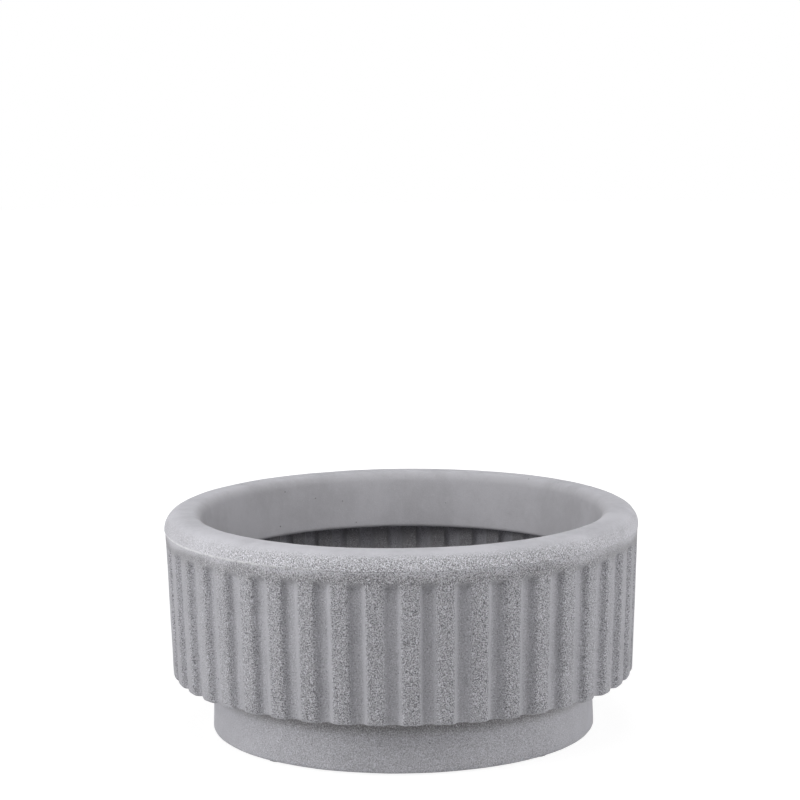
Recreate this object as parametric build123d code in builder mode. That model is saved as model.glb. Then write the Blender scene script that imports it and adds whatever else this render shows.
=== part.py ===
from build123d import *

import os
from math import asin, cos, radians, sin, tan

# A low round flower pot in cast fibre cement, standing on its base with +Z up.
# The origin is on the ground at the centre of the pot, and all sizes are in millimetres.
# The pot is four castings bonded together: a rounded rim with a turned-in collar,
# a ribbed drum, a plinth and a floor. A rubber plug closes the drain hole in the floor,
# and rubber pads in the plinth's foot keep it off the ground.

# Sizes of the whole pot
rim_diameter = 400.0
pot_height = 188.5
plinth_diameter = 324.0
plinth_height = 47.8
pad_stand = 1.5

# Sizes of the rim and its collar
rim_height = 14.6
rim_width = 30.2
rim_outer_round = 14.3
rim_inner_round = 9.5
rim_overhang = 0.7
collar_depth = 49.6
collar_lean = 6.4
collar_lip = 8.0
collar_lip_round = 3.0
rim_spigot_depth = 8.0

# Sizes of the drum wall
drum_draft = 2.03
drum_edge_round = 5.0
drum_edge_turn = 60.0
drum_wall = 9.0
shelf_thickness = 12.0
shelf_corner_round = 8.0

# Sizes of the ribs: the drum has this many crests with a groove between each two
rib_count = 44
groove_depth = 6.0
groove_floor_width = 7.5
groove_side_angle = 32.0
groove_corner_round = 4.5
crest_round = 4.5
plain_band_height = 10.0

# Sizes of the hollows behind the crests, which keep the wall even
channel_width = 9.0
channel_depth = 4.5
channel_corner_round = 2.0
channel_side_angle = 40.0

# Sizes of the plinth and the floor
plinth_draft = 1.9
plinth_wall = 12.0
plinth_edge_round = 3.0
plinth_spigot_height = 5.0
plinth_spigot_width = 4.0
foot_ring_width = 34.0
foot_ring_thickness = 10.0
floor_thickness = 10.0

# Sizes of the drain, its plug and the foot pads
drain_diameter = 26.0
plug_seat_diameter = 46.0
plug_seat_depth = 2.0
plug_flange_thickness = 3.0
plug_reach = 5.0
plug_taper = 1.5
plug_neck_diameter = 13.0
plug_knob_diameter = 22.0
plug_knob_height = 16.0
plug_knob_thickness = 7.0
plug_knob_round = 2.5
pad_count = 4
pad_start_angle = 45.0
pad_diameter = 24.0
pad_thickness = 3.0
pad_edge_chamfer = 0.6

# Clearances
bond_clearance = 0.3
plug_clearance = 0.3
pad_clearance = 0.3
# The ribs' cutter stands this far off the crests, so that it meets them at an angle
crest_lift = 0.05
# Cutters reach this far past the faces they cut through
cut_over = 10.0

# Heights and radii worked out from the sizes
plinth_bottom_z = pad_stand
shelf_z = plinth_bottom_z + plinth_height
shelf_top_z = shelf_z + shelf_thickness
seam_z = pot_height - rim_height
groove_top_z = seam_z - plain_band_height
collar_edge_z = pot_height - collar_depth
floor_z = plinth_bottom_z + foot_ring_thickness
floor_top_z = floor_z + floor_thickness

rim_radius = rim_diameter / 2
rim_inner_radius = rim_radius - rim_width
collar_radius = rim_inner_radius - collar_lean
drum_slope = tan(radians(drum_draft))
drum_top_radius = rim_radius - rim_overhang
wall_depth = groove_depth + drum_wall
rib_pitch = 360.0 / rib_count

plinth_radius = plinth_diameter / 2
plinth_top_radius = plinth_radius - plinth_height * tan(radians(plinth_draft))
plinth_inner_radius = plinth_top_radius - plinth_wall
foot_inner_radius = plinth_radius - foot_ring_width
spigot_radius = plinth_inner_radius + plinth_spigot_width
shelf_hole_radius = spigot_radius + bond_clearance
pad_circle_radius = plinth_radius - foot_ring_width / 2


def crest_radius(z):
    """Radius of the drum over its crests at the height z."""
    return drum_top_radius - (seam_z - z) * drum_slope


def inner_radius(z):
    """Radius of the inside of the drum wall at the height z."""
    return crest_radius(z) - wall_depth


# The round between the shelf and the wall leaves some of the shelf flat
shelf_width = inner_radius(shelf_top_z) - shelf_hole_radius
shelf_round = min(shelf_corner_round, shelf_width - plinth_spigot_width)


# Rim ring: rounded rim, and the collar that turns down inside it
with BuildPart() as rim_ring:
    with BuildSketch(Plane.XZ):
        with BuildLine():
            spigot_outer = inner_radius(seam_z) - bond_clearance
            spigot_z = seam_z - rim_spigot_depth
            Polyline(
                (rim_radius, seam_z),
                (rim_radius, pot_height),
                (rim_inner_radius, pot_height),
                (collar_radius, collar_edge_z),
                (collar_radius + collar_lip, collar_edge_z),
                (spigot_outer, spigot_z),
                (spigot_outer, seam_z),
                close=True,
            )
        make_face()
        fillet(vertices().group_by(Axis.Y)[-1].sort_by(Axis.X)[-1], rim_outer_round)
        fillet(vertices().group_by(Axis.Y)[-1].sort_by(Axis.X)[0], rim_inner_round)
        fillet(vertices().group_by(Axis.Y)[0].sort_by(Axis.X)[0], collar_lip_round)
    revolve(axis=Axis.Z)
rim_ring.part.label = "rim_ring"

# Groove cutter: a pocket with slanted sides and end, and a roof that rests on the crests
# beside it. The corner between pocket and roof is the rounding of the crests.
draft_angle = radians(drum_draft)
cutter_low_z = shelf_z - cut_over
cutter_low = (crest_radius(cutter_low_z), 0, cutter_low_z)
along_wall = (sin(draft_angle), 0, cos(draft_angle))
across_plane = Plane(origin=cutter_low, x_dir=(0, -1, 0), z_dir=along_wall)
side_plane = Plane(origin=cutter_low, x_dir=along_wall, z_dir=(0, 1, 0))
side_slope = tan(radians(groove_side_angle))
groove_length = (groove_top_z - cutter_low_z) / cos(draft_angle)
pocket_rise = cut_over / 2
floor_half = groove_floor_width / 2
rise_half = floor_half + (groove_depth + pocket_rise) * side_slope

# The roof's two flats touch the crests where the rounding ends
round_reach = crest_round * tan(radians(90 - groove_side_angle) / 2)
touch_half = floor_half + groove_depth * side_slope + round_reach
touch_angle = asin(touch_half / drum_top_radius)
roof_half = drum_top_radius * sin(radians(rib_pitch / 2))
touch_level = crest_lift - drum_top_radius * (1 - cos(touch_angle))
ridge_level = touch_level + touch_half * tan(touch_angle)
eaves_level = touch_level - (roof_half - touch_half) * tan(touch_angle)

with BuildPart() as groove_cutter:
    with BuildSketch(across_plane):
        with BuildLine():
            Polyline(
                (-floor_half, -groove_depth),
                (floor_half, -groove_depth),
                (rise_half, pocket_rise),
                (-rise_half, pocket_rise),
                close=True,
            )
        make_face()
    extrude(amount=groove_length + cut_over)
    with BuildSketch(side_plane):
        with BuildLine():
            Polyline(
                (0, -groove_depth),
                (groove_length - groove_depth * side_slope, -groove_depth),
                (groove_length + pocket_rise * side_slope, pocket_rise),
                (0, pocket_rise),
                close=True,
            )
        make_face()
    extrude(amount=roof_half, both=True, mode=Mode.INTERSECT)
    pocket_floor = groove_cutter.faces().sort_by(Axis.X)[0]
    pocket_edges = pocket_floor.edges().sort_by(Axis.Z)[1:]
    for corner in pocket_floor.vertices().group_by(Axis.Z)[-1]:
        meeting = groove_cutter.edges().filter_by(lambda edge: edge.distance_to(corner) < crest_lift)
        pocket_edges += [edge for edge in meeting if edge not in pocket_edges]
    fillet(pocket_edges, groove_corner_round)
    with BuildSketch(across_plane):
        with BuildLine():
            Polyline(
                (0, ridge_level),
                (roof_half, eaves_level),
                (roof_half, cut_over),
                (-roof_half, cut_over),
                (-roof_half, eaves_level),
                close=True,
            )
        make_face()
    extrude(amount=groove_length + cut_over)
    facing_in = groove_cutter.faces().filter_by(lambda face: face.normal_at().X < -0.9)
    roof_flats = facing_in.sort_by(SortBy.AREA)[-2:]
    mouth_edges = ShapeList(edge for face in roof_flats for edge in face.edges())
    mouth_edges = mouth_edges.filter_by_position(Axis.Y, -touch_half, touch_half)
    mouth_edges = mouth_edges.filter_by_position(
        Axis.Z, cutter_low_z + crest_round, groove_top_z + crest_round
    )
    fillet(mouth_edges, crest_round)

# Channel cutter: a shallow hollow in the inside of the wall, behind one crest
channel_low_z = shelf_top_z + shelf_round
channel_length = (groove_top_z - channel_low_z) / cos(draft_angle) - groove_depth
channel_plane = Plane(
    origin=(inner_radius(channel_low_z), 0, channel_low_z),
    x_dir=(0, -1, 0),
    z_dir=along_wall,
)
channel_half = channel_width / 2
channel_mouth_half = channel_half + (channel_depth + cut_over) * tan(radians(channel_side_angle))

with BuildPart() as channel_cutter:
    with BuildSketch(channel_plane):
        with BuildLine():
            Polyline(
                (-channel_half, channel_depth),
                (channel_half, channel_depth),
                (channel_mouth_half, -cut_over),
                (-channel_mouth_half, -cut_over),
                close=True,
            )
        make_face()
        fillet(vertices().group_by(Axis.Y)[-1], channel_corner_round)
    extrude(amount=channel_length)

# Ribbed drum: a slanted wall with a shelf turned in at its foot, cut by grooves and channels
with BuildPart() as ribbed_drum:
    with BuildSketch(Plane.XZ):
        with BuildLine():
            edge_turn = radians(drum_edge_turn)
            edge_top_z = shelf_z + drum_edge_round * sin(edge_turn)
            edge_inset = drum_edge_round * (1 - cos(edge_turn))
            under_edge = (crest_radius(shelf_z) - edge_inset, shelf_z)
            side_edge = (crest_radius(edge_top_z), edge_top_z)
            Polyline(
                side_edge,
                (crest_radius(seam_z), seam_z),
                (inner_radius(seam_z), seam_z),
                (inner_radius(shelf_top_z), shelf_top_z),
                (shelf_hole_radius, shelf_top_z),
                (shelf_hole_radius, shelf_z),
                under_edge,
            )
            RadiusArc(under_edge, side_edge, -drum_edge_round)
        make_face()
        shelf_corner = (inner_radius(shelf_top_z), shelf_top_z)
        fillet(vertices().sort_by_distance(shelf_corner)[0], shelf_round)
    revolve(axis=Axis.Z)
    with PolarLocations(0, rib_count, start_angle=rib_pitch / 2):
        add(groove_cutter.part, mode=Mode.SUBTRACT)
    with PolarLocations(0, rib_count):
        add(channel_cutter.part, mode=Mode.SUBTRACT)
ribbed_drum.part.label = "ribbed_drum"

# Plinth: the base ring, with a spigot that centres the drum and a foot ring turned in below
with BuildPart() as plinth:
    with BuildSketch(Plane.XZ):
        with BuildLine():
            Polyline(
                (foot_inner_radius, plinth_bottom_z),
                (plinth_radius, plinth_bottom_z),
                (plinth_top_radius, shelf_z),
                (spigot_radius, shelf_z),
                (spigot_radius, shelf_z + plinth_spigot_height),
                (plinth_inner_radius, shelf_z + plinth_spigot_height),
                (plinth_inner_radius, floor_z),
                (foot_inner_radius, floor_z),
                close=True,
            )
        make_face()
        foot_edge = vertices().sort_by_distance((plinth_radius, plinth_bottom_z))[0]
        fillet(foot_edge, plinth_edge_round)
    revolve(axis=Axis.Z)
    with BuildSketch(Plane.XY.offset(plinth_bottom_z)):
        with PolarLocations(pad_circle_radius, pad_count, start_angle=pad_start_angle):
            Circle(pad_diameter / 2 + pad_clearance)
    extrude(amount=pad_thickness - pad_stand, mode=Mode.SUBTRACT)
plinth.part.label = "plinth"

# Pot floor: a round slab that lies on the foot ring, with a sunk seat round its drain hole
with BuildPart() as pot_floor:
    with BuildSketch(Plane.XY.offset(floor_z)):
        Circle(plinth_inner_radius - bond_clearance)
    extrude(amount=floor_thickness)
    with Locations((0, 0, floor_top_z)):
        CounterBoreHole(drain_diameter / 2, plug_seat_diameter / 2, plug_seat_depth)
pot_floor.part.label = "pot_floor"

# Drain plug: a tapered stopper whose flange rests in the seat, with a knob to pull it by
with BuildPart() as drain_plug:
    with BuildSketch(Plane.XZ):
        with BuildLine():
            seat_z = floor_top_z - plug_seat_depth
            flange_z = seat_z + plug_flange_thickness
            knob_top_z = flange_z + plug_knob_height
            plug_radius = drain_diameter / 2 - plug_clearance
            Polyline(
                (0, floor_z - plug_reach),
                (plug_radius - plug_taper, floor_z - plug_reach),
                (plug_radius, seat_z),
                (plug_seat_diameter / 2 - plug_clearance, seat_z),
                (plug_seat_diameter / 2 - plug_clearance, flange_z),
                (plug_neck_diameter / 2, flange_z),
                (plug_neck_diameter / 2, knob_top_z - plug_knob_thickness),
                (plug_knob_diameter / 2, knob_top_z - plug_knob_thickness),
                (plug_knob_diameter / 2, knob_top_z),
                (0, knob_top_z),
                close=True,
            )
        make_face()
        above_flange = vertices().filter_by(lambda corner: corner.Y > seat_z + plug_flange_thickness)
        fillet(above_flange.sort_by(Axis.X)[-2:], plug_knob_round)
    revolve(axis=Axis.Z)
drain_plug.part.label = "drain_plug"

pieces = [rim_ring.part, ribbed_drum.part, plinth.part, pot_floor.part, drain_plug.part]

# Foot pads: rubber discs set in pockets of the foot ring, each a piece of its own
pad_angle = 360.0 / pad_count
for pad_number in range(pad_count):
    with BuildPart() as foot_pad:
        with BuildSketch(Plane.XY):
            with PolarLocations(pad_circle_radius, 1, start_angle=pad_start_angle + pad_number * pad_angle):
                Circle(pad_diameter / 2)
        extrude(amount=pad_thickness)
        chamfer(foot_pad.edges().group_by(Axis.Z)[0], pad_edge_chamfer)
    foot_pad.part.label = f"foot_pad_{pad_number + 1}"
    pieces.append(foot_pad.part)

os.makedirs("parts", exist_ok=True)
for piece in pieces:
    export_step(piece, f"parts/{piece.label}.step")
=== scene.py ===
import logging
import math
import random
from collections.abc import Callable
from dataclasses import dataclass
from enum import Enum

import bmesh
import bpy
from mathutils import Matrix, Vector, noise


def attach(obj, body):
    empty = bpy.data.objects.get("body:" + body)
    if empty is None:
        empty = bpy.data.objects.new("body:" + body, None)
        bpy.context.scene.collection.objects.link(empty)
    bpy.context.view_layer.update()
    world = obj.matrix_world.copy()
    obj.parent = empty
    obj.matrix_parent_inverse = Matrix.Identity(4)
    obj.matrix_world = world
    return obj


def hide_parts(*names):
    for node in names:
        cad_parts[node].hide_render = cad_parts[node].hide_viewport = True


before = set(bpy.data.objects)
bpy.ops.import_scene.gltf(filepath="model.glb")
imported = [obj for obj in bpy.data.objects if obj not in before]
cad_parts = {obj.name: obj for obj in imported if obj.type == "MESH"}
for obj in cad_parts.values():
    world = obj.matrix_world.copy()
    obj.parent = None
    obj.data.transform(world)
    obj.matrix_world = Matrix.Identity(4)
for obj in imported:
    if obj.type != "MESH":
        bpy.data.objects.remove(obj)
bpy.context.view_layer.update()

LOG = logging.getLogger("flower_pot")
MM = 0.001

Colour = tuple[float, float, float]
Skin = bmesh.types.BMesh
Socket = bpy.types.NodeSocket


class Body(Enum):
    """The two bodies of the pot that the pieces ride on."""

    POT = "pot"
    PLUG = "plug"


class Slot(Enum):
    """The material slots of the record."""

    RIM = "rim_cement"
    DRUM = "drum_cement"
    PLINTH = "plinth_cement"
    FLOOR = "floor_cement"
    PLUG = "plug_rubber"
    PAD = "pad_rubber"


class Outline:
    """Half of a turned piece's section: points of radius and height, joined in order."""

    def __init__(self, radius: float, height: float) -> None:
        """Starts the outline at its first point.

        Args:
            radius: distance from the pot's axis.
            height: height above the ground.
        """
        self.points: list[Vector] = [Vector((radius, 0.0, height))]

    def line(self, radius: float, height: float, steps: int = 1) -> None:
        """Adds a straight run, cut into equal steps.

        Args:
            radius: distance of its end from the pot's axis.
            height: height of its end.
            steps: number of equal steps.
        """
        start = self.points[-1]
        end = Vector((radius, 0.0, height))
        self.points += [start.lerp(end, step / steps) for step in range(1, steps + 1)]

    def arc(self, size: float, start: float, turn: float, steps: int = 8) -> None:
        """Adds an arc that begins at the last point.

        Args:
            size: the arc's radius.
            start: direction from the arc's centre to its first point, in degrees from the
                outward direction, counted upwards.
            turn: angle that the arc runs through, in degrees.
            steps: number of equal steps.
        """
        first = math.radians(start)
        centre = self.points[-1] - Vector((math.cos(first), 0.0, math.sin(first))) * size
        for step in range(1, steps + 1):
            angle = first + math.radians(turn) * step / steps
            self.points.append(centre + Vector((math.cos(angle), 0.0, math.sin(angle))) * size)

    def turned(self, steps: int, closed: bool = True, sectors: int = 4) -> Skin:
        """Turns the outline about the pot's axis, sector by sector.

        Args:
            steps: number of steps of the full turn, a multiple of sectors.
            closed: whether the last point is joined to the first.
            sectors: number of equal sectors that the turn is put together from.

        Returns:
            The turned skin, closed, with its faces outwards.
        """
        skin = bmesh.new()
        verts = [skin.verts.new(point) for point in self.points]
        edges = [skin.edges.new(pair) for pair in zip(verts, verts[1:])]
        if closed:
            edges.append(skin.edges.new((verts[-1], verts[0])))
        about = {"cent": (0.0, 0.0, 0.0), "axis": (0.0, 0.0, 1.0)}
        sector = math.tau / sectors
        bmesh.ops.spin(skin, geom=verts + edges, angle=sector, steps=steps // sectors, **about)
        bmesh.ops.spin(
            skin,
            geom=skin.verts[:] + skin.edges[:] + skin.faces[:],
            angle=math.tau - sector,
            steps=sectors - 1,
            use_duplicate=True,
            **about,
        )
        bmesh.ops.remove_doubles(skin, verts=skin.verts, dist=0.001 * MM)
        bmesh.ops.recalc_face_normals(skin, faces=skin.faces)
        return skin


@dataclass(frozen=True)
class Unevenness:
    """The soft lumps that a mould and a wet sponge leave on a cast skin."""

    broad_size: float = 34 * MM  # width of the broad swellings
    broad_lift: float = 0.22 * MM  # their height
    fine_size: float = 9 * MM  # width of the small lumps
    fine_lift: float = 0.1 * MM  # their height
    seed: int = 1  # shifts the pattern, so that no two castings are alike

    def lift(self, place: Vector) -> float:
        """Returns how far the skin lies from its full size at a place, never above 0."""
        shift = Vector((self.seed * 3.7, self.seed * 1.3, self.seed * 2.1))
        broad = noise.noise(place / self.broad_size + shift) - 0.5
        fine = noise.noise(place / self.fine_size - shift) - 0.5
        return min(broad * self.broad_lift + fine * self.fine_lift, 0.0)

    def apply(self, skin: Skin, share: Callable[[Vector], float]) -> None:
        """Lifts the vertices of a skin along their normals.

        Args:
            skin: the mesh to work on.
            share: gives how much of the lift a place gets, from 0 to 1.
        """
        skin.normal_update()
        moves = [(vert, vert.normal * self.lift(vert.co) * share(vert.co)) for vert in skin.verts]
        for vert, move in moves:
            vert.co += move


def fade(value: float, low: float, high: float) -> float:
    """Rises smoothly from 0 at low to 1 at high.

    Args:
        value: the number to look at.
        low: where the rise begins.
        high: where it ends.

    Returns:
        The share, from 0 to 1.
    """
    share = min(max((value - low) / (high - low), 0.0), 1.0)
    return share * share * (3.0 - 2.0 * share)


class MaterialBench:
    """Adds the nodes of one material and joins them."""

    def __init__(self, name: str) -> None:
        """Makes a material with a Principled shader and nothing else.

        Args:
            name: the material's name.
        """
        self.material = bpy.data.materials.new(name)
        self.material.use_nodes = True
        self.tree = self.material.node_tree
        self.shader = self.tree.nodes["Principled BSDF"]
        coordinates = self.add("TexCoord")
        self.place = coordinates.outputs["Object"]
        self.normal = coordinates.outputs["Normal"]

    def add(
        self, kind: str, values: dict[str | int, float | Colour] | None = None, **settings: str
    ) -> bpy.types.Node:
        """Adds a node.

        Args:
            kind: its type, without ShaderNode in front.
            values: what its inputs hold, by name or number.
            settings: its own settings, such as its operation.

        Returns:
            The node.
        """
        node = self.tree.nodes.new(f"ShaderNode{kind}")
        for name, setting in settings.items():
            setattr(node, name, setting)
        for key, value in (values or {}).items():
            node.inputs[key].default_value = value
        return node

    def join(self, source: Socket | float | tuple[float, ...], target: Socket) -> None:
        """Joins an output to an input, or writes a plain value into it.

        Args:
            source: the output or the value.
            target: the input.
        """
        if isinstance(source, Socket):
            self.tree.links.new(source, target)
        else:
            target.default_value = source

    def noise(self, size: float, detail: float = 2.0, rough: float = 0.5) -> Socket:
        """Adds a noise pattern in the piece's own space.

        Args:
            size: width of its largest features, in metres.
            detail: number of finer layers.
            rough: strength of the finer layers.

        Returns:
            The pattern, from 0 to 1.
        """
        node = self.add("TexNoise", {"Scale": 1.0 / size, "Detail": detail, "Roughness": rough})
        self.join(self.place, node.inputs["Vector"])
        return node.outputs["Fac"]

    def axis_parts(self, vector: Socket) -> dict[str, Socket]:
        """Returns the X, Y and Z of a vector."""
        node = self.add("SeparateXYZ")
        self.join(vector, node.inputs[0])
        return {name: node.outputs[name] for name in "XYZ"}

    def reach(self) -> Socket:
        """Returns the level distance from the pot's axis."""
        level = self.add("VectorMath", {1: (1.0, 1.0, 0.0)}, operation="MULTIPLY")
        self.join(self.place, level.inputs[0])
        length = self.add("VectorMath", operation="LENGTH")
        self.join(level.outputs[0], length.inputs[0])
        return length.outputs["Value"]

    def cells(self, size: float) -> tuple[Socket, Socket]:
        """Adds scattered points in the piece's own space.

        Args:
            size: the usual distance between two points, in metres.

        Returns:
            The distance to the nearest point, as a share of size, and a colour for each point.
        """
        node = self.add("TexVoronoi", {"Scale": 1.0 / size})
        self.join(self.place, node.inputs["Vector"])
        return node.outputs["Distance"], node.outputs["Color"]

    def remap(
        self, value: Socket, low: float, high: float, start: float = 0.0, end: float = 1.0
    ) -> Socket:
        """Maps one range to another, smoothly and clamped.

        Args:
            value: the number to map.
            low: the number that gives start.
            high: the number that gives end.
            start: the result at low.
            end: the result at high.

        Returns:
            The mapped number.
        """
        ends = {"From Min": low, "From Max": high, "To Min": start, "To Max": end}
        node = self.add("MapRange", ends, interpolation_type="SMOOTHSTEP")
        self.join(value, node.inputs["Value"])
        return node.outputs["Result"]

    def combine(self, operation: str, first: Socket, second: Socket | float = 0.0) -> Socket:
        """Adds a Math node.

        Args:
            operation: the node's operation, such as ADD or MAXIMUM.
            first: its first number.
            second: its second number.

        Returns:
            The result.
        """
        node = self.add("Math", operation=operation)
        self.join(first, node.inputs[0])
        self.join(second, node.inputs[1])
        return node.outputs[0]

    def times(self, first: Socket, *others: Socket | float) -> Socket:
        """Multiplies numbers.

        Args:
            first: the first number.
            others: the numbers to multiply it by, in order.

        Returns:
            The product.
        """
        for other in others:
            first = self.combine("MULTIPLY", first, other)
        return first

    def blend(self, share: Socket, under: Socket | Colour, over: Socket | Colour) -> Socket:
        """Blends two colours.

        Args:
            share: how much of the second shows.
            under: the first colour.
            over: the second colour.

        Returns:
            The blended colour.
        """
        node = self.add("Mix", data_type="RGBA")
        self.join(share, node.inputs[0])
        for colour, target in ((under, node.inputs[6]), (over, node.inputs[7])):
            self.join(colour if isinstance(colour, Socket) else (*colour, 1.0), target)
        return node.outputs[2]

    def relief(self, layers: list[tuple[Socket, float]]) -> None:
        """Stacks bump layers and joins them to the shader.

        Args:
            layers: each layer's height pattern and the height that 1 stands for, in metres.
        """
        below = None
        for height, depth in layers:
            node = self.add("Bump", {"Strength": 1.0, "Distance": depth})
            self.join(height, node.inputs["Height"])
            if below is not None:
                self.join(below, node.inputs["Normal"])
            below = node.outputs["Normal"]
        self.join(below, self.shader.inputs["Normal"])


@dataclass(frozen=True)
class CementFinish:
    """Cast fibre cement: a grey paste with sand in it, rubbed more or less smooth.

    Shares run from 0 to 1, tones are shares of the paste's own tone, and reaches are level
    distances from the pot's axis.
    """

    name: str
    tone: float = 0.445  # how pale the paste is
    tint: Colour = (1.0, 0.995, 1.06)  # its colour at a tone of 1
    roughness: float = 0.88
    sheen: float = 0.25  # how strongly it mirrors
    cloud_size: float = 55 * MM  # width of the cloudy patches
    cloud_depth: float = 0.05  # how much they lighten and darken the paste
    cloud_edges: tuple[float, float] = (0.36, 0.64)  # where the pattern is darkest and palest
    lump_size: float = 7 * MM  # width of the low lumps in the skin
    lump_height: float = 0.35 * MM
    grain_size: float = 0.95 * MM  # width of the sand grains
    grain_height: float = 1.6 * MM  # how far they stand out where nothing rubbed them
    grain_shade: float = 0.75  # how much the grains and the gaps between them hide the paste
    grain_swing: float = 0.14  # swing of the pattern at which they do so in full
    lit_grain_and_speck_tone: float = 1.8  # tone of the painted light on the grains and of the pale specks
    gap_shade_tone: float = 0.2  # tone of the painted shade in the gaps between the grains
    speck_share: float = 0.3  # cells of the speck patterns that hold a speck
    speck_width: float = 0.3  # a speck's radius, as a share of its cell
    dark_speck_cell: float = 2.3 * MM
    pale_speck_cell: float = 2.0 * MM
    pit_share: float = 0.15  # cells of the pit pattern that hold an air pit
    pit_width: float = 0.1  # a pit's radius, as a share of its cell
    pit_cell: float = 8 * MM
    pit_depth: float = 0.6 * MM
    pit_tone: float = 0.25  # tone of the pits and the dark specks
    spot_cover: float = 0.6  # how much a speck or a pit hides the paste
    rubbed_reach: float = 0.0  # reach within which the skin is rubbed smooth
    rough_reach: float = 0.1 * MM  # reach from which it is fully rough
    rubbed_share: float = 1.0  # how much of the grain is left where it is rubbed
    lean: float = 0.0  # how much both reaches grow with height
    side_lit_grain_share: float = 0.3  # how much grain is left on the faces that look left or right, towards the side lamps
    side_lit_facing: float = 0.3  # how far they may look to the front
    inner_shade_reach: float = 1 * MM  # reach within which the skin is darkened: painted shade inside the pot
    inner_shade_fade: float = 8 * MM  # width over which that fades
    inner_shade_share: float = 0.0  # how much that painted shade darkens it
    band_clear_height: float = 155 * MM  # height at which the painted shade of the band is nil
    band_shade_height: float = 167 * MM  # height at which that painted shade is darkest
    band_shade_share: float = 0.0  # how much the painted shade darkens the skin there
    shade_tones: Colour = (0.5, 0.485, 0.49)  # red, green and blue tone of the painted shade
    seam_height: float = 173.9 * MM  # height of the parting line
    seam_light_share: float = 0.0  # how much painted light, in the rim's paler tone, lies in wavy runs just under it
    seam_light_tone: float = 1.6
    seam_light_reach: float = 188 * MM  # reach outside which it lies
    seam_light_size: float = 40 * MM  # width of a run
    seam_light_run: float = 14 * MM  # difference in length between two runs
    seam_light_fade: float = 8 * MM  # height over which a run fades
    seam_highlight_share: float = 0.0  # how much painted highlight lies on the parting line
    seam_highlight_colour: Colour = (0.8, 0.8, 0.82)
    seam_highlight_edges: tuple[float, float] = (0.4 * MM, 1.5 * MM)  # half of its width, full and faded
    seam_highlight_side: tuple[float, float] = (-140 * MM, -40 * MM)  # from the pot's left to its middle
    seam_highlight_reach: float = 190 * MM  # reach outside which it lies

    def shade(self, share: float) -> Colour:
        """Returns the paste's colour, lightened or darkened by a share."""
        return tuple(channel * self.tone * share for channel in self.tint)

    def roughened(self, bench: MaterialBench) -> Socket:
        """Returns how much grain each place shows, from 0 to 1.

        The grain is cut back where the skin faces left or right, towards the side lamps, and left
        standing where it faces the front or the back, where they graze it: painted light and shade.

        Args:
            bench: the material's bench.

        Returns:
            The share of the full grain.
        """
        height = bench.axis_parts(bench.place)["Z"]
        leaned = bench.combine("SUBTRACT", bench.reach(), bench.times(height, self.lean))
        outer = bench.remap(leaned, self.rubbed_reach, self.rough_reach, self.rubbed_share)
        # facing mask: more of the grain's painted light and shade where the side lamps graze
        facing = bench.combine("ABSOLUTE", bench.axis_parts(bench.normal)["Y"])
        return bench.times(outer, bench.remap(facing, self.side_lit_facing, 1.0, self.side_lit_grain_share))

    def spots(self, bench: MaterialBench, size: float, share: float, width: float) -> Socket:
        """Scatters round spots over some of the cells of a pattern.

        Args:
            bench: the material's bench.
            size: usual distance between two cells.
            share: how many of the cells hold a spot, from 0 to 1.
            width: a spot's radius, as a share of size.

        Returns:
            1 in the spots and 0 between them.
        """
        near, kind = bench.cells(size)
        picked = bench.remap(kind, 1.0 - share, 1.01 - share)
        return bench.times(bench.remap(near, width / 2, width, 1.0, 0.0), picked)

    def painted_shade(self, bench: MaterialBench, paste: Socket) -> Socket:
        """Darkens the paste inside the pot and in a band under an overhanging edge: painted shade.

        Args:
            bench: the material's bench.
            paste: the colour to darken.

        Returns:
            The darkened colour.
        """
        # painted shade of the pot's inside, within a reach of the axis
        clear_reach, shaded_reach = self.inner_shade_reach, self.inner_shade_reach - self.inner_shade_fade
        inner_shade = bench.remap(bench.reach(), shaded_reach, clear_reach, self.inner_shade_share, 0.0)
        # painted shade in a band by height, under an overhanging edge
        height = bench.axis_parts(bench.place)["Z"]
        band_shade = bench.remap(height, self.band_clear_height, self.band_shade_height, 0.0, self.band_shade_share)
        # warm colour of the painted shade
        dark = tuple(self.tone * tone for tone in self.shade_tones)
        return bench.blend(bench.combine("MAXIMUM", inner_shade, band_shade), paste, dark)

    def painted_seam_light(self, bench: MaterialBench, paste: Socket) -> Socket:
        """Lightens the paste in wavy runs just under the parting line, towards the rim's paler
        tone: painted light.

        Args:
            bench: the material's bench.
            paste: the colour to lighten.

        Returns:
            The lightened colour.
        """
        runs = bench.times(bench.noise(self.seam_light_size), self.seam_light_run)
        height = bench.combine("ADD", bench.axis_parts(bench.place)["Z"], runs)
        top = self.seam_height + self.seam_light_run / 2
        # painted light in wavy runs under the parting line
        share = bench.remap(height, top - self.seam_light_fade, top, 0.0, self.seam_light_share)
        outer = bench.remap(bench.reach(), self.seam_light_reach, self.seam_light_reach + 2 * MM)
        return bench.blend(bench.times(share, outer), paste, self.shade(self.seam_light_tone))

    def painted_seam_highlight(self, bench: MaterialBench, paste: Socket) -> Socket:
        """Paints a highlight along the parting line, on the pot's left.

        Args:
            bench: the material's bench.
            paste: the colour to lighten.

        Returns:
            The lightened colour.
        """
        parts = bench.axis_parts(bench.place)
        away = bench.combine("ABSOLUTE", bench.combine("SUBTRACT", parts["Z"], self.seam_height))
        line = bench.remap(away, *self.seam_highlight_edges, self.seam_highlight_share, 0.0)
        side = bench.remap(parts["X"], *self.seam_highlight_side, 1.0, 0.0)
        outer = bench.remap(bench.reach(), self.seam_highlight_reach, self.seam_highlight_reach + 4 * MM)
        patchy = bench.remap(bench.noise(6 * MM, detail=3.0), 0.35, 0.55, 0.3, 1.0)
        # painted highlight, broken into patches
        return bench.blend(bench.times(line, side, outer, patchy), paste, self.seam_highlight_colour)

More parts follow.
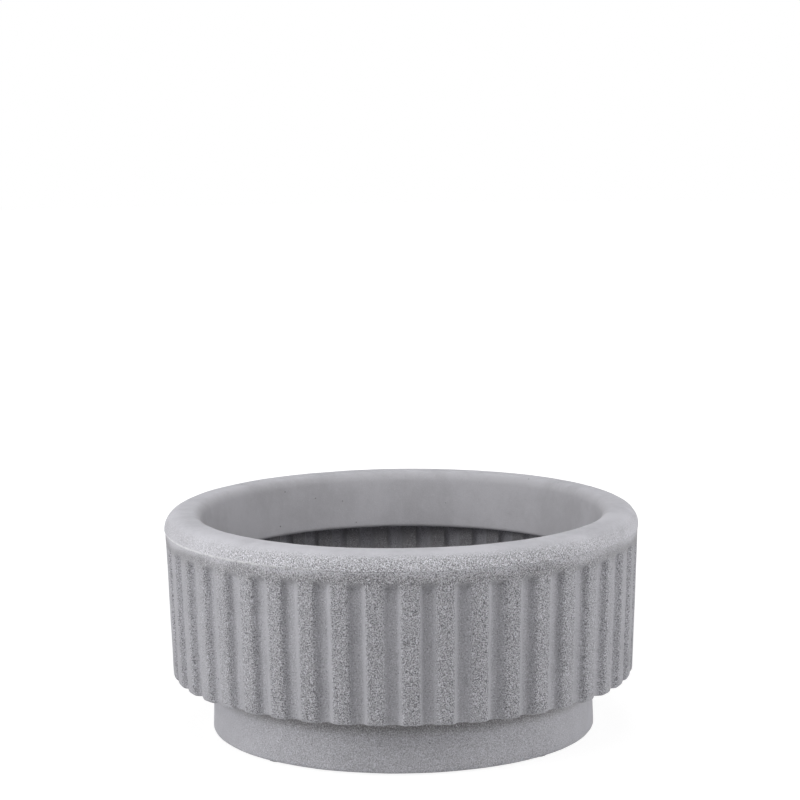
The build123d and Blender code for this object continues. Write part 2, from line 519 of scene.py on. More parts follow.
    def sanded(self, bench: MaterialBench, paste: Socket, sand: Socket, rough: Socket) -> Socket:
        """Colours the stray specks and paints light on the grains and shade in the gaps between
        them.

        Args:
            bench: the material's bench.
            paste: the colour between them.
            sand: height of the grains, about 0.
            rough: how much grain each place shows.

        Returns:
            The sandy colour.
        """
        swing, shade = self.grain_swing, self.grain_shade
        gaps = bench.remap(sand, -swing, 0.0, shade, 0.0)
        grains = bench.remap(sand, 0.0, swing, 0.0, shade)
        # painted shade in the gaps and painted light on the grains, following the sand's relief
        paste = bench.blend(gaps, paste, self.shade(self.gap_shade_tone))
        paste = bench.blend(grains, paste, self.shade(self.lit_grain_and_speck_tone))
        dark, pale = (self.dark_speck_cell, self.pit_tone), (self.pale_speck_cell, self.lit_grain_and_speck_tone)
        for cell, tone in (dark, pale):
            specks = self.spots(bench, cell, self.speck_share, self.speck_width)
            cover = bench.times(specks, rough, self.spot_cover)
            paste = bench.blend(cover, paste, self.shade(tone))
        return paste

    def make(self) -> bpy.types.Material:
        """Returns the material."""
        bench = MaterialBench(self.name)
        rough = self.roughened(bench)
        clouds = bench.remap(bench.noise(self.cloud_size, detail=5.0, rough=0.7), *self.cloud_edges)
        deep, pale = (self.shade(1.0 + sign * self.cloud_depth) for sign in (-1.0, 1.0))
        # painted shade inside the pot and under the overhanging edges
        paste = self.painted_shade(bench, bench.blend(clouds, deep, pale))
        # painted light under the parting line
        if self.seam_light_share:
            paste = self.painted_seam_light(bench, paste)
        grain = bench.combine("SUBTRACT", bench.noise(self.grain_size, rough=0.6), 0.5)
        sand = bench.times(grain, rough)
        paste = self.sanded(bench, paste, sand, rough)
        pits = self.spots(bench, self.pit_cell, self.pit_share, self.pit_width)
        paste = bench.blend(bench.times(pits, self.spot_cover), paste, self.shade(self.pit_tone))
        # painted highlight on the parting line
        if self.seam_highlight_share:
            paste = self.painted_seam_highlight(bench, paste)
        bench.join(paste, bench.shader.inputs["Base Color"])
        bench.join(self.roughness, bench.shader.inputs["Roughness"])
        bench.join(self.sheen, bench.shader.inputs["Specular IOR Level"])
        lumps, hollows = bench.noise(self.lump_size), bench.times(pits, -1.0)
        layers = [(lumps, self.lump_height), (sand, self.grain_height), (hollows, self.pit_depth)]
        bench.relief(layers)
        return bench.material


@dataclass(frozen=True)
class RubberFinish:
    """Matt moulded rubber with a little dust on it."""

    name: str
    clean: Colour = (0.045, 0.045, 0.047)
    dusty: Colour = (0.13, 0.128, 0.122)  # colour where dust lies
    roughness: float = 0.55  # roughness of the clean rubber
    dusty_roughness: float = 0.85
    dust_share: float = 0.7  # how much the dust hides at most
    skin_height: float = 0.05 * MM  # height of the mould's fine texture

    def make(self) -> bpy.types.Material:
        """Returns the material."""
        bench = MaterialBench(self.name)
        dust = bench.noise(9 * MM, detail=4.0, rough=0.65)
        share = bench.remap(dust, 0.42, 0.75, 0.0, self.dust_share)
        bench.join(bench.blend(share, self.clean, self.dusty), bench.shader.inputs["Base Color"])
        dull = bench.remap(dust, 0.4, 0.7, self.roughness, self.dusty_roughness)
        bench.join(dull, bench.shader.inputs["Roughness"])
        bench.relief([(bench.noise(0.7 * MM, detail=1.0), self.skin_height)])
        return bench.material


def settle(
    name: str,
    skin: Skin,
    material: bpy.types.Material,
    body: Body,
    replaced: str,
) -> None:
    """Makes an object of a finished skin and puts it in the frame.

    Args:
        name: the piece's name.
        skin: its mesh in place. It is freed.
        material: its finish.
        body: the body that it rides on.
        replaced: the model's node that it stands for.
    """
    mesh = bpy.data.meshes.new(name)
    skin.to_mesh(mesh)
    skin.free()
    mesh.shade_smooth()
    mesh.materials.append(material)
    piece = bpy.data.objects.new(name, mesh)
    bpy.context.scene.collection.objects.link(piece)
    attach(piece, body.value)
    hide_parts(replaced)
    LOG.info("%s: %d faces, rides on %s", name, len(mesh.polygons), body.value)


@dataclass
class PotPlan:
    """Heights and radii that the castings share."""

    height: float = 188.5 * MM  # height of the whole pot
    rim_radius: float = 200 * MM  # outer radius of the rim
    seam_height: float = 173.9 * MM  # height of the parting line between rim and drum
    crest_top_radius: float = 199.3 * MM  # radius of the drum over its crests at the seam
    drum_draft: float = 2.03  # lean of the drum's wall, in degrees
    shelf_height: float = 49.3 * MM  # height of the drum's underside
    wall_depth: float = 15 * MM  # from the crests to the inside of the drum's wall
    turn_steps: int = 352  # steps of a full turn of the smooth castings

    def crest_radius(self, height: float) -> float:
        """Returns the radius of the drum over its crests at a height."""
        return self.crest_top_radius - (self.seam_height - height) * math.tan(
            math.radians(self.drum_draft)
        )


@dataclass
class RimRing:
    """The rounded rim with the collar that turns down inside it."""

    plan: PotPlan
    finish: CementFinish
    outer_round: float = 14.3 * MM
    inner_round: float = 9.5 * MM
    # where the top and the collar would meet without the rounding
    corner_radius: float = 169.8 * MM
    collar_radius: float = 163.4 * MM  # inner radius of the collar at its lower edge
    collar_depth: float = 49.6 * MM  # from the top of the rim to the collar's lower edge
    lip_width: float = 8 * MM  # thickness of the collar's lower edge
    lip_round: float = 3 * MM  # rounding of that edge
    spigot_depth: float = 8 * MM  # how far the rim reaches into the drum
    spigot_gap: float = 0.3 * MM  # clearance round that spigot
    ledge_inset: float = 0.45 * MM  # how far the rim's foot is rubbed in where it shows no ledge
    ledge_direction: float = 195.0  # direction in which the ledge stays, in degrees
    # degrees away from it at which it starts to go, and is gone
    ledge_reach: tuple[float, float] = (30.0, 70.0)
    rubbed_height: float = 6 * MM  # height above the seam up to which the foot is rubbed

    def section(self) -> Outline:
        """Returns the ring's section, counted from the outer foot of the rim."""
        plan = self.plan
        lean = math.degrees(math.atan2(self.corner_radius - self.collar_radius, self.collar_depth))
        inner_turn = 90.0 - lean
        spigot_radius = plan.crest_top_radius - plan.wall_depth - self.spigot_gap
        flat_end = self.corner_radius + self.inner_round * math.tan(math.radians(inner_turn / 2))
        lip_height = plan.height - self.collar_depth
        lip_turn = 90.0 + lean
        setback = self.lip_round * math.tan(math.radians(lip_turn / 2))
        along = Vector((math.sin(math.radians(lean)), 0.0, math.cos(math.radians(lean))))
        lip_top = Vector((self.collar_radius, 0.0, lip_height)) + along * setback
        foot = plan.height - self.outer_round - plan.seam_height
        ring = Outline(plan.rim_radius - foot, plan.seam_height)
        ring.arc(foot, -90.0, 90.0, steps=3)
        ring.arc(self.outer_round, 0.0, 90.0, steps=14)
        ring.line(flat_end, plan.height, steps=3)
        ring.arc(self.inner_round, 90.0, inner_turn, steps=10)
        ring.line(lip_top.x, lip_top.z, steps=12)
        ring.arc(self.lip_round, 180.0 - lean, lip_turn, steps=6)
        ring.line(self.collar_radius + self.lip_width, lip_height)
        ring.line(spigot_radius, plan.seam_height - self.spigot_depth, steps=4)
        ring.line(spigot_radius, plan.seam_height, steps=2)
        return ring

    def rub_foot(self, skin: Skin) -> None:
        """Rubs the rim's foot in, nearly flush with the drum, except round the ledge's direction.

        Args:
            skin: the turned ring.
        """
        seam = self.plan.seam_height
        for vert in skin.verts:
            radius = vert.co.xy.length
            if radius < self.plan.crest_top_radius - self.plan.wall_depth / 2:
                continue
            turn = math.degrees(math.atan2(vert.co.y, vert.co.x)) - self.ledge_direction
            away = abs((turn + 180.0) % 360.0 - 180.0)
            above = fade(vert.co.z, seam, seam + self.rubbed_height)
            share = fade(away, *self.ledge_reach) * (1.0 - above)
            shrink = 1.0 - share * self.ledge_inset / radius
            vert.co.x *= shrink
            vert.co.y *= shrink

    def build(self) -> None:
        """Builds the ring and sets it in the frame."""
        plan = self.plan
        skin = self.section().turned(plan.turn_steps)
        self.rub_foot(skin)

        def share(place: Vector) -> float:
            """Leaves the seat on the drum as it is."""
            if place.xy.length <= self.corner_radius + 4 * MM:
                return 1.0
            return fade(place.z, plan.seam_height, plan.seam_height + 4 * MM)

        Unevenness(seed=3).apply(skin, share)
        settle("rim_casting", skin, self.finish.make(), Body.POT, "rim_ring")


@dataclass
class RibbedDrum:
    """The drum: a leaning wall with grooves all round and a shelf turned in at its foot."""

    plan: PotPlan
    finish: CementFinish
    rib_count: int = 44
    groove_depth: float = 6 * MM
    groove_floor_width: float = 7.5 * MM  # width of its floor, between sharp corners
    side_angle: float = 32.0  # angle of its sides to the depth, in degrees
    corner_round: float = 4.5 * MM  # rounding along its floor
    crest_round: float = 4.5 * MM  # rounding of the crests
    # rounding of the corners at its upper end, seen from the front
    end_corner_round: float = 4 * MM
    plain_band: float = 10 * MM  # height of the plain band between grooves and seam
    edge_round: float = 5 * MM  # rounding of the drum's lower edge on a crest
    groove_edge_round: float = 2.5 * MM  # rounding of that edge in a groove
    edge_turn: float = 60.0  # angle that the lower rounding turns through, in degrees
    shelf_thickness: float = 12 * MM
    shelf_round: float = 8 * MM  # rounding between shelf and wall
    hole_radius: float = 152.7 * MM  # radius of the hole in the shelf
    hollow_depth: float = 4.5 * MM  # depth of the hollows behind the crests
    hollow_half_width: float = 8.3 * MM  # half of their width at the wall
    soft_edge: float = 0.3 * MM  # bevel of the drum's upper edge
    half_steps: int = 12  # steps across half a rib
    seed: int = 44  # seed of the small differences between the grooves
    width_spread: float = 0.25 * MM  # how much wider or narrower a groove is on each side
    end_spread: float = 0.6 * MM  # how much higher or lower it ends
    least_depth: float = 0.93  # depth of the shallowest groove, as a share

    def __post_init__(self) -> None:
        """Works out the groove's shape and draws its small differences."""
        self.pitch = math.tau / self.rib_count
        self.flank_turn = math.radians(90.0 - self.side_angle)
        self.flank_run = self.groove_depth * math.tan(math.radians(self.side_angle))
        self.half_mouth = self.groove_floor_width / 2 + self.flank_run
        self.groove_top = self.plan.seam_height - self.plain_band
        self.crest_back = self.crest_round * math.tan(self.flank_turn / 2)
        self.floor_back = self.corner_round * math.tan(self.flank_turn / 2)
        draw = random.Random(self.seed)
        wide, far, ribs = self.width_spread, self.end_spread, range(self.rib_count)
        self.widening = [draw.uniform(-wide, wide) for _ in ribs]
        self.raising = [draw.uniform(-far, far) for _ in ribs]
        self.shallowing = [draw.uniform(self.least_depth, 1.0) for _ in ribs]

    def depth(self, inward: float) -> float:
        """Depth of a groove at a distance in from its mouth's sharp edge.

        Args:
            inward: the distance, negative on the crest.

        Returns:
            The depth below the crests.
        """
        into_crest = inward + self.crest_back
        to_floor = self.flank_run + self.floor_back - inward
        if into_crest <= 0.0:
            return 0.0
        if to_floor <= 0.0:
            return self.groove_depth
        if into_crest < self.crest_round * math.sin(self.flank_turn):
            return self.crest_round - math.sqrt(self.crest_round**2 - into_crest**2)
        if to_floor < self.corner_round * math.sin(self.flank_turn):
            rise = self.corner_round - math.sqrt(self.corner_round**2 - to_floor**2)
            return self.groove_depth - rise
        return inward * math.tan(self.flank_turn)

    def stations(self) -> list[float]:
        """Distances from a groove's middle at which the skin has an upright row.

        Returns:
            The distances, from the crest's middle down to 0. Most lie on the roundings.
        """
        crest_end = self.half_mouth + self.crest_back
        floor_end = self.groove_floor_width / 2 - self.floor_back
        crest_middle = self.plan.crest_top_radius * self.pitch / 2
        turns = [self.flank_turn * step / 4 for step in range(5)]
        across = [crest_middle, (crest_middle + crest_end) / 2]
        across += [crest_end - self.crest_round * math.sin(turn) for turn in turns]
        across += [floor_end + self.corner_round * math.sin(turn) for turn in reversed(turns)]
        return across + [0.0]

    def section(self) -> Outline:
        """Returns the wall's section over a crest, counted from the shelf's hole."""
        plan = self.plan
        turn = math.radians(self.edge_turn)
        edge_top = plan.shelf_height + self.edge_round * math.sin(turn)
        shelf_top = plan.shelf_height + self.shelf_thickness
        flat_end = plan.crest_radius(plan.shelf_height) - self.groove_depth - 5 * MM
        inner_top = plan.crest_top_radius - plan.wall_depth
        inner_foot = plan.crest_radius(shelf_top) - plan.wall_depth
        wall = Outline(self.hole_radius, shelf_top)
        wall.line(self.hole_radius, plan.shelf_height, steps=2)
        wall.line(flat_end, plan.shelf_height, steps=3)
        edge_inset = self.edge_round * (1 - math.cos(turn))
        wall.line(plan.crest_radius(edge_top) - edge_inset, plan.shelf_height)
        wall.arc(self.edge_round, -self.edge_turn, self.edge_turn, steps=6)
        for height, steps in ((self.groove_top - 12 * MM, 28), (self.groove_top + 4 * MM, 16)):
            wall.line(plan.crest_radius(height), height, steps=steps)
        soft = self.soft_edge
        wall.line(plan.crest_radius(plan.seam_height - soft), plan.seam_height - soft, steps=3)
        wall.line(plan.crest_top_radius - soft, plan.seam_height, steps=1)
        wall.line(inner_top, plan.seam_height, steps=2)
        wall.line(inner_foot + 0.3 * MM, shelf_top + self.shelf_round, steps=22)
        wall.arc(self.shelf_round, 0.0, -90.0, steps=5)
        wall.line(self.hole_radius + 2 * MM, shelf_top, steps=3)
        return wall

    def carve(self, skin: Skin) -> None:
        """Moves the rows of the turned wall to their stations and presses in the grooves.

        Args:
            skin: the turned wall, with its first row over the middle of a crest.
        """
        plan = self.plan
        across = self.stations()
        per_rib = 2 * self.half_steps
        row_angle = self.pitch / per_rib
        turn_sine = math.sin(math.radians(self.edge_turn))
        edge_top = plan.shelf_height + self.edge_round * turn_sine
        for vert in skin.verts:
            radius = vert.co.xy.length
            height = vert.co.z
            row = round((math.atan2(vert.co.y, vert.co.x) % math.tau) / row_angle)
            groove, step = divmod(row, per_rib)
            groove %= self.rib_count
            middle = (groove + 0.5) * self.pitch
            side = -1.0 if step <= self.half_steps else 1.0
            station = across[min(step, per_rib - step)]
            outside = radius > plan.crest_radius(height) - plan.wall_depth / 2
            if outside:
                width = station / across[0]
                gap = self.half_mouth + self.widening[groove] - station
                end = self.groove_top + self.raising[groove] - height
                corner = self.end_corner_round
                inward = min(gap, end)
                if gap < corner and end < corner:
                    inward = corner - math.hypot(corner - gap, corner - end)
                depth = self.depth(inward) * self.shallowing[groove]
                share = depth / self.groove_depth
                edge = self.edge_round + (self.groove_edge_round - self.edge_round) * share
                if height < edge_top + 0.01 * MM:
                    inset = (plan.crest_radius(height) - radius) / self.edge_round
                    radius = plan.crest_radius(height) - inset * edge
                    above = height - plan.shelf_height
                    height = plan.shelf_height + above * edge / self.edge_round
                radius -= depth
                if station >= across[0]:
                    angle = middle + side * self.pitch / 2
                else:
                    angle = middle + side * station / plan.crest_radius(height)
            else:
                angle = middle + side * station / across[0] * self.pitch / 2
                radius += self.hollow(radius, height, across[0] - station)
            vert.co = Vector((math.cos(angle) * radius, math.sin(angle) * radius, height))

    def hollow(self, radius: float, height: float, from_crest: float) -> float:
        """Depth of the hollow behind a crest.

        Args:
            radius: distance of the wall's inside from the pot's axis.
            height: height of the place.
            from_crest: distance from the middle of the crest.

        Returns:
            How far the inside is pressed outwards.
        """
        shelf_top = self.plan.shelf_height + self.shelf_thickness + self.shelf_round
        if radius < self.hole_radius + 10 * MM or height > self.groove_top:
            return 0.0
        lengthwise = fade(height, shelf_top, shelf_top + 4 * MM)
        lengthwise *= 1.0 - fade(height, self.groove_top - 12 * MM, self.groove_top - 6 * MM)
        crosswise = 1.0 - fade(from_crest, self.hollow_half_width / 2, self.hollow_half_width)
        return self.hollow_depth * lengthwise * crosswise

    def build(self) -> None:
        """Builds the drum and sets it in the frame."""
        plan = self.plan
        steps = 2 * self.half_steps * self.rib_count
        skin = self.section().turned(steps, sectors=self.rib_count)
        self.carve(skin)

        def share(place: Vector) -> float:
            """Leaves the faces that touch other castings as they are."""
            return fade(plan.seam_height - place.z, 0.0, 5 * MM) * fade(
                place.z, plan.shelf_height, plan.shelf_height + 3 * MM
            )

        Unevenness(seed=7).apply(skin, share)
        settle("drum_casting", skin, self.finish.make(), Body.POT, "ribbed_drum")


@dataclass
class Plinth:
    """The set-back base ring, with the foot turned in below."""

    plan: PotPlan
    finish: CementFinish
    foot_height: float = 1.5 * MM  # height of the foot's underside
    foot_radius: float = 162 * MM  # outer radius at the foot
    top_radius: float = 160.41 * MM  # outer radius under the drum
    inner_radius: float = 148.41 * MM
    foot_hole_radius: float = 128 * MM  # radius of the hole inside the foot
    foot_thickness: float = 10 * MM  # thickness of the turned-in foot
    edge_round: float = 3 * MM  # rounding of the lower edge
    spigot_height: float = 5 * MM
    spigot_radius: float = 152.41 * MM  # outer radius of that ring

    def section(self) -> Outline:
        """Returns the ring's section, counted from the foot's hole."""
        top = self.plan.shelf_height
        low = self.foot_height
        draft = math.degrees(math.atan2(self.foot_radius - self.top_radius, top - low))
        turn = 90.0 + draft
        setback = self.edge_round * math.tan(math.radians(turn / 2))
        ring = Outline(self.foot_hole_radius, low)
        ring.line(self.foot_radius - setback, low, steps=4)
        ring.arc(self.edge_round, -90.0, turn, steps=6)
        ring.line(self.top_radius, top, steps=14)
        ring.line(self.spigot_radius, top)
        ring.line(self.spigot_radius, top + self.spigot_height)
        ring.line(self.inner_radius, top + self.spigot_height)
        ring.line(self.inner_radius, low + self.foot_thickness, steps=8)
        ring.line(self.foot_hole_radius, low + self.foot_thickness, steps=3)
        return ring

    def build(self) -> None:
        """Builds the plinth and sets it in the frame."""
        skin = self.section().turned(self.plan.turn_steps)

        def share(place: Vector) -> float:
            """Lifts only the outer wall."""
            return fade(place.xy.length, self.spigot_radius, self.top_radius - 1 * MM) * fade(
                self.plan.shelf_height - place.z, 0.0, 3 * MM
            )

        Unevenness(seed=11, fine_lift=0.06 * MM).apply(skin, share)
        settle("plinth_casting", skin, self.finish.make(), Body.POT, "plinth")


@dataclass
class PotFloor:
    """The slab that lies on the foot, with a sunk seat round its drain hole."""

    plan: PotPlan
    finish: CementFinish
    radius: float = 148.1 * MM
    low: float = 11.5 * MM  # height of its underside
    thickness: float = 10 * MM
    drain_radius: float = 13 * MM
    seat_radius: float = 23 * MM
    seat_depth: float = 2 * MM  # how far the seat is sunk
    edge_round: float = 0.8 * MM  # rounding of the seat's edge

    def build(self) -> None:
        """Builds the slab and sets it in the frame."""
        top = self.low + self.thickness
        slab = Outline(self.drain_radius, self.low)
        slab.line(self.radius, self.low, steps=6)
        slab.line(self.radius, top)
        slab.line(self.seat_radius + self.edge_round, top, steps=26)
        slab.arc(self.edge_round, 90.0, 90.0, steps=3)
        slab.line(self.seat_radius, top - self.seat_depth)
        slab.line(self.drain_radius, top - self.seat_depth, steps=2)
        skin = slab.turned(self.plan.turn_steps // 2)

        def share(place: Vector) -> float:
            """Lifts only the top, away from the plug's seat."""
            from_seat = fade(place.xy.length, self.seat_radius + 2 * MM, self.seat_radius + 9 * MM)
            return from_seat * fade(place.z, top - 1 * MM, top)

        Unevenness(broad_lift=0.5 * MM, fine_lift=0.25 * MM, seed=5).apply(skin, share)
        settle("floor_slab", skin, self.finish.make(), Body.POT, "pot_floor")


@dataclass
class DrainPlug:
    """The rubber stopper of the drain hole, with a knob to pull it by."""

    finish: RubberFinish
    low: float = 6.5 * MM  # height of the stopper's end
    seat_height: float = 19.5 * MM  # height of the seat that its flange rests on
    flange_thickness: float = 3 * MM
    stopper_radius: float = 12.7 * MM  # radius of the stopper at the flange
    taper: float = 1.5 * MM  # how much narrower it is at its end
    flange_radius: float = 22.7 * MM
    neck_radius: float = 6.5 * MM
    knob_radius: float = 11 * MM
    knob_height: float = 16 * MM
    knob_thickness: float = 7 * MM
    knob_round: float = 2.5 * MM  # rounding of the knob
    edge_round: float = 0.6 * MM  # rounding of the small edges
    dish_depth: float = 1 * MM  # depth of the dish in the knob's top
    turn_steps: int = 96  # steps of a full turn

    def build(self) -> None:
        """Builds the plug and sets it in the frame."""
        flange = self.seat_height + self.flange_thickness
        top = flange + self.knob_height
        edge = self.edge_round
        plug = Outline(0.0, self.low)
        plug.line(self.stopper_radius - self.taper - edge, self.low, steps=3)
        plug.arc(edge, -90.0, 90.0, steps=3)
        plug.line(self.stopper_radius, self.seat_height, steps=5)
        plug.line(self.flange_radius - edge, self.seat_height, steps=3)
        plug.arc(edge, -90.0, 90.0, steps=3)
        plug.line(self.flange_radius, flange - edge)
        plug.arc(edge, 0.0, 90.0, steps=3)
        plug.line(self.neck_radius + self.knob_round, flange, steps=4)
        plug.arc(self.knob_round, -90.0, -90.0, steps=5)
        plug.line(self.neck_radius, top - self.knob_thickness, steps=3)
        plug.line(self.knob_radius - self.knob_round, top - self.knob_thickness, steps=2)
        plug.arc(self.knob_round, -90.0, 90.0, steps=6)
        plug.line(self.knob_radius, top - self.knob_round, steps=2)
        plug.arc(self.knob_round, 0.0, 90.0, steps=6)
        plug.line(self.knob_radius / 2, top - self.dish_depth, steps=3)
        plug.line(0.0, top - self.dish_depth, steps=3)
        skin = plug.turned(self.turn_steps, closed=False)
        settle("plug_moulding", skin, self.finish.make(), Body.PLUG, "drain_plug")


@dataclass
class FootPads:
    """The rubber pads under the plinth."""

    finish: RubberFinish
    circle_radius: float = 145 * MM  # distance of the pads from the pot's axis
    start_angle: float = 45.0  # direction of the first pad, in degrees
    count: int = 4
    radius: float = 12 * MM
    thickness: float = 3 * MM
    edge_round: float = 0.6 * MM  # rounding of its lower edge
    groove_depth: float = 0.4 * MM  # depth of the gripping grooves underneath
    turn_steps: int = 64  # steps of a full turn

    def build(self) -> None:
        """Builds the pads and sets them in the frame."""
        material = self.finish.make()
        for number in range(self.count):
            angle = math.radians(self.start_angle + number * 360.0 / self.count)
            pad = Outline(0.0, 0.0)
            for ridge in (3 * MM, 6 * MM, 9 * MM):
                pad.line(ridge, 0.0)
                pad.line(ridge + 0.4 * MM, self.groove_depth)
                pad.line(ridge + 0.8 * MM, 0.0)
            pad.line(self.radius - self.edge_round, 0.0)
            pad.arc(self.edge_round, -90.0, 90.0, steps=4)
            pad.line(self.radius, self.thickness, steps=2)
            pad.line(0.0, self.thickness, steps=3)
            skin = pad.turned(self.turn_steps, closed=False)
            offset = Vector((math.cos(angle), math.sin(angle), 0.0)) * self.circle_radius
            bmesh.ops.translate(skin, verts=skin.verts, vec=offset)
            name = f"foot_pad_{number + 1}"
            settle(f"{name}_moulding", skin, material, Body.POT, name)


@dataclass(frozen=True)
class SoftBox:
    """A square studio lamp that faces the pot."""

    name: str
    azimuth: float  # its direction from the pot, in degrees: 0 is the camera's side, 90 the right
    elevation: float  # its height above the horizon, in degrees
    power: float  # its power in watts
    size: float = 0.8  # width of its face
    distance: float = 1.6  # its distance from the pot

    def place(self, target: Vector) -> None:
        """Sets up the lamp.

        Args:
            target: the point that it faces.
        """
        light = bpy.data.lights.new(self.name, "AREA")
        light.shape = "SQUARE"
        light.size = self.size
        light.energy = self.power
        lamp = bpy.data.objects.new(self.name, light)
        turn, rise = math.radians(self.azimuth), math.radians(self.elevation)
        level = Vector((math.sin(turn), -math.cos(turn), 0.0))
        way = level * math.cos(rise) + Vector((0.0, 0.0, math.sin(rise)))
        lamp.location = target + way * self.distance
        lamp.rotation_euler = way.to_track_quat("Z", "Y").to_euler()
        bpy.context.scene.collection.objects.link(lamp)


@dataclass
class Studio:
    """The pale floor, the white surround, the lamps and the camera."""

    lamps: tuple[SoftBox, ...]
    lamp_target: Colour = (0.0, 0.0, 0.1)  # the point that the lamps face
    ambient: float = 0.05  # strength of the surround's light
    floor_radius: float = 6.0
    floor_tone: float = 0.9  # how pale the floor is
    shadow_share: float = 0.25  # how much of the pot's shadow the camera sees
    glow_near: float = 1.2  # strength of the floor's white near the pot
    glow_far: float = 1.36  # and away from it
    glow_reach: tuple[float, float] = (0.3, 1.2)  # distances from the pot that these are for
    sensor: float = 36.0  # width of the camera's sensor, in millimetres
    lens: float = 123.08  # its focal length, in millimetres
    camera_distance: float = 2.2735  # level distance from the pot's axis to the camera
    camera_height: float = 0.6131
    camera_turn: float = 1.8  # direction of the camera round the pot, in degrees
    pitch: float = 8.354  # how far it looks down, in degrees
    roll: float = 0.633  # how far it leans to one side, in degrees

    def lay_floor(self) -> None:
        """Lays a round floor that is white to the camera apart from the pot's shadow."""
        skin = bmesh.new()
        bmesh.ops.create_circle(skin, cap_ends=True, segments=128, radius=self.floor_radius)
        mesh = bpy.data.meshes.new("studio_floor")
        skin.to_mesh(mesh)
        skin.free()
        bench = MaterialBench("studio_floor_paint")
        pale, patchy = ((self.floor_tone * share,) * 3 for share in (1.0, 0.99))
        paint = bench.blend(bench.noise(0.8, detail=1.0), pale, patchy)
        bench.join(paint, bench.shader.inputs["Base Color"])
        bench.join(1.0, bench.shader.inputs["Roughness"])
        bench.join(0.0, bench.shader.inputs["Specular IOR Level"])
        white = bench.add("Emission")
        glow = bench.remap(bench.reach(), *self.glow_reach, self.glow_near, self.glow_far)
        bench.join(glow, white.inputs["Strength"])
        seen = bench.times(self.seen_rays(bench.tree), 1.0 - self.shadow_share)
        self.mix(bench.tree, seen, bench.shader, white, bench.tree.nodes["Material Output"])
        mesh.materials.append(bench.material)
        floor = bpy.data.objects.new("studio_floor", mesh)
        bpy.context.scene.collection.objects.link(floor)

    @staticmethod
    def seen_rays(tree: bpy.types.NodeTree) -> Socket:
        """Adds up the rays that show the background.

        Args:
            tree: the node tree to add to.

        Returns:
            1 on camera, glossy and transmission rays, and 0 on others.
        """
        rays = tree.nodes.new("ShaderNodeLightPath")
        total = rays.outputs["Is Camera Ray"]
        for name in ("Is Glossy Ray", "Is Transmission Ray"):
            adder = tree.nodes.new("ShaderNodeMath")
            adder.operation = "MAXIMUM"
            tree.links.new(total, adder.inputs[0])
            tree.links.new(rays.outputs[name], adder.inputs[1])
            total = adder.outputs[0]
        return total

    @staticmethod
    def mix(
        tree: bpy.types.NodeTree,
        share: Socket,
        lit: bpy.types.Node,
        shown: bpy.types.Node,
        output: bpy.types.Node,
    ) -> None:
        """Mixes two shaders into the output's surface.

        Args:
            tree: the node tree to add to.
            share: how much of the second shows.
            lit: the first shader.
            shown: the second shader.
            output: the tree's output node.
        """
        mixer = tree.nodes.new("ShaderNodeMixShader")
        tree.links.new(share, mixer.inputs[0])
        tree.links.new(lit.outputs[0], mixer.inputs[1])
        tree.links.new(shown.outputs[0], mixer.inputs[2])
        tree.links.new(mixer.outputs[0], output.inputs["Surface"])

    def hang_surround(self) -> None:
        """Makes the world white to the camera and a soft grey light to the pot."""
        world = bpy.data.worlds.new("studio_surround")
        world.use_nodes = True
        nodes = world.node_tree.nodes
        background = nodes["Background"]
        white = nodes.new("ShaderNodeBackground")
        for node, strength in ((background, self.ambient), (white, 1.0)):
            node.inputs["Color"].default_value = (1.0, 1.0, 1.0, 1.0)
            node.inputs["Strength"].default_value = strength
        seen = self.seen_rays(world.node_tree)
        self.mix(world.node_tree, seen, background, white, nodes["World Output"])
        bpy.context.scene.world = world

    def set_camera(self) -> None:
        """Sets the camera at the photograph's view."""
        camera = bpy.data.objects.new("studio_camera", bpy.data.cameras.new("studio_camera"))
        camera.data.sensor_width = self.sensor
        camera.data.lens = self.lens
        angles = (self.camera_turn, self.pitch, self.roll)
        turn, pitch, roll = (math.radians(angle) for angle in angles)
        ahead = Vector((math.sin(turn), math.cos(turn), 0.0))
        look = ahead * math.cos(pitch) - Vector((0.0, 0.0, math.sin(pitch)))
        right = look.cross(Vector((0.0, 0.0, 1.0))).normalized()
        down = look.cross(right)
        across = right * math.cos(roll) + down * math.sin(roll)
        under = down * math.cos(roll) - right * math.sin(roll)
        place = ahead * -self.camera_distance + Vector((0.0, 0.0, self.camera_height))
        axes = Matrix((across, -under, -look)).transposed().to_4x4()
        camera.matrix_world = Matrix.Translation(place) @ axes
        bpy.context.scene.collection.objects.link(camera)
        bpy.context.scene.camera = camera

    def build(self) -> None:
        """Sets up the whole studio."""
        self.lay_floor()
        self.hang_surround()
        for lamp in self.lamps:
            lamp.place(Vector(self.lamp_target))
        self.set_camera()
        bpy.context.scene.view_settings.view_transform = "Standard"
        LOG.info("studio: %d lamps", len(self.lamps))


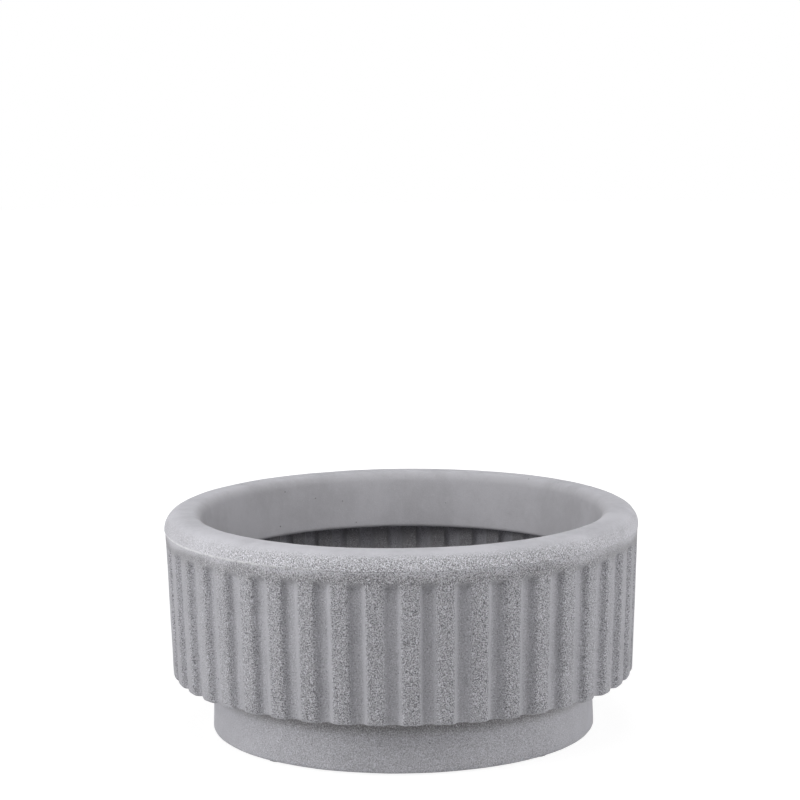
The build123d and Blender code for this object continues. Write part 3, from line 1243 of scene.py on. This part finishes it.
def main() -> None:
    """Builds the pot and its studio in order."""
    logging.basicConfig(level=logging.INFO, format="%(name)s %(message)s")
    plan = PotPlan()
    rim_cement = CementFinish(
        "rim_cement_skin",
        # paler than the drum's paste: painted light on the rim from the lamps above
        tone=0.64,
        cloud_depth=0.09,
        pit_share=0.2,
        rubbed_reach=189 * MM,
        rough_reach=198 * MM,
        rubbed_share=0.12,
        # painted shade on the collar and the rim's inner rounding
        inner_shade_reach=177.5 * MM,
        inner_shade_share=0.36,
        # painted shade low on the rim's outer rounding
        band_clear_height=188 * MM,
        band_shade_height=181 * MM,
        band_shade_share=0.14,
        # painted highlight along the parting line
        seam_highlight_share=0.9,
    )
    wall_lean = math.tan(math.radians(plan.drum_draft))
    crest_reach = plan.crest_top_radius - plan.seam_height * wall_lean
    drum_cement = CementFinish(
        "drum_cement_skin",
        rubbed_reach=crest_reach - 6.5 * MM,
        rough_reach=crest_reach + 0.5 * MM,
        rubbed_share=0.45,
        lean=wall_lean,
        # painted shade inside the drum
        inner_shade_reach=188 * MM,
        inner_shade_share=0.8,
        # painted shade in the band under the rim
        band_shade_share=0.4,
        # painted light just under the parting line
        seam_light_share=0.6,
        # painted highlight along the parting line
        seam_highlight_share=0.9,
    )
    plinth_cement = CementFinish(
        "plinth_cement_skin",
        # paler than the drum's paste: painted light from the floor's bounce
        tone=0.523,
        grain_height=0.6 * MM,
        grain_shade=0.4,
        speck_share=0.2,
        # painted shadow of the drum on the plinth's top
        band_clear_height=29.5 * MM,
        band_shade_height=40.5 * MM,
        band_shade_share=0.9,
    )
    RimRing(plan, rim_cement).build()
    RibbedDrum(plan, drum_cement).build()
    Plinth(plan, plinth_cement).build()
    PotFloor(plan, CementFinish("floor_cement_skin")).build()
    DrainPlug(RubberFinish("plug_rubber_skin")).build()
    FootPads(RubberFinish("pad_rubber_skin")).build()
    Studio(
        lamps=(
            SoftBox("left_low_softbox", azimuth=-75.0, elevation=11.0, power=6.9, size=0.6),
            SoftBox("left_middle_softbox", azimuth=-50.0, elevation=32.0, power=7.6, size=0.9),
            SoftBox("right_low_softbox", azimuth=75.0, elevation=11.0, power=7.7, size=0.6),
            SoftBox("right_middle_softbox", azimuth=50.0, elevation=35.0, power=3.2, size=0.7),
            SoftBox("front_high_softbox", azimuth=0.0, elevation=60.0, power=5.2),
            SoftBox("back_high_softbox", azimuth=180.0, elevation=66.0, power=4.1),
            SoftBox("back_low_softbox", azimuth=180.0, elevation=15.0, power=3.6),
        )
    ).build()


if __name__ == "__main__":
    main()
